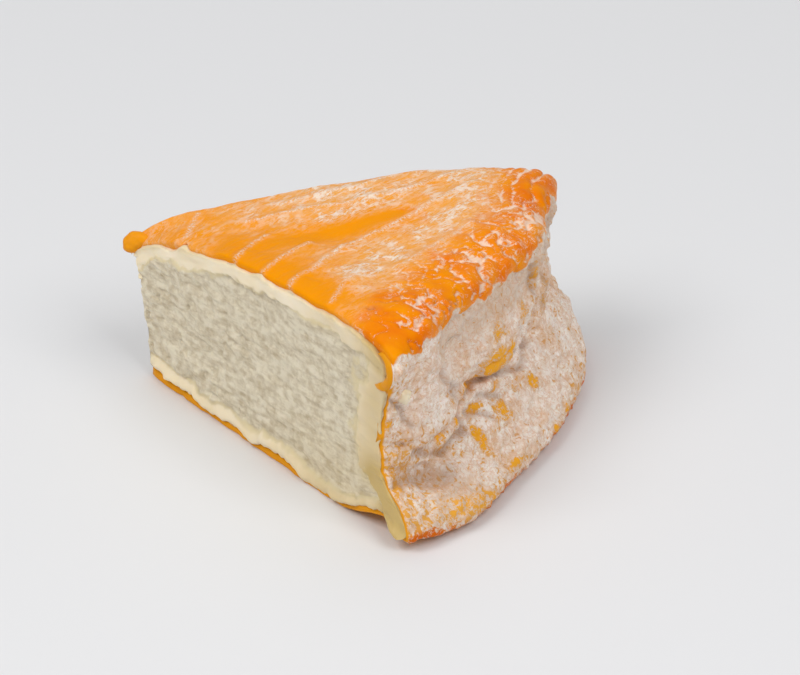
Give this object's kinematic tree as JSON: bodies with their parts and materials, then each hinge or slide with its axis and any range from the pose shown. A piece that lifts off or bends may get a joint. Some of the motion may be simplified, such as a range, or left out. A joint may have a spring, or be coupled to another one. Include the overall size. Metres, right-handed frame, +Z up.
{
  "type": "langres cheese wedge",
  "caption": "Wedge of soft washed-rind cheese with a sunken top, a flared wrinkled rind wall, a chalky cut face and a curl of rind at the tip.",
  "frame": {"origin": "centre of the wedge's box, on the surface that it rests on", "axes": "+X from the thin tip along the wedge's middle towards the rind wall, +Z up"},
  "size_m": [0.105, 0.1036, 0.0513],
  "materials": {
    "washed_rind": "moist orange washed rind, slightly glossy, with a thin white bloom on the wall",
    "paste": "chalky white paste with a smooth cream band under the rind"
  },
  "bodies": {
    "root": {"cheese_wedge": "washed_rind"}
  },
  "joints": []
}
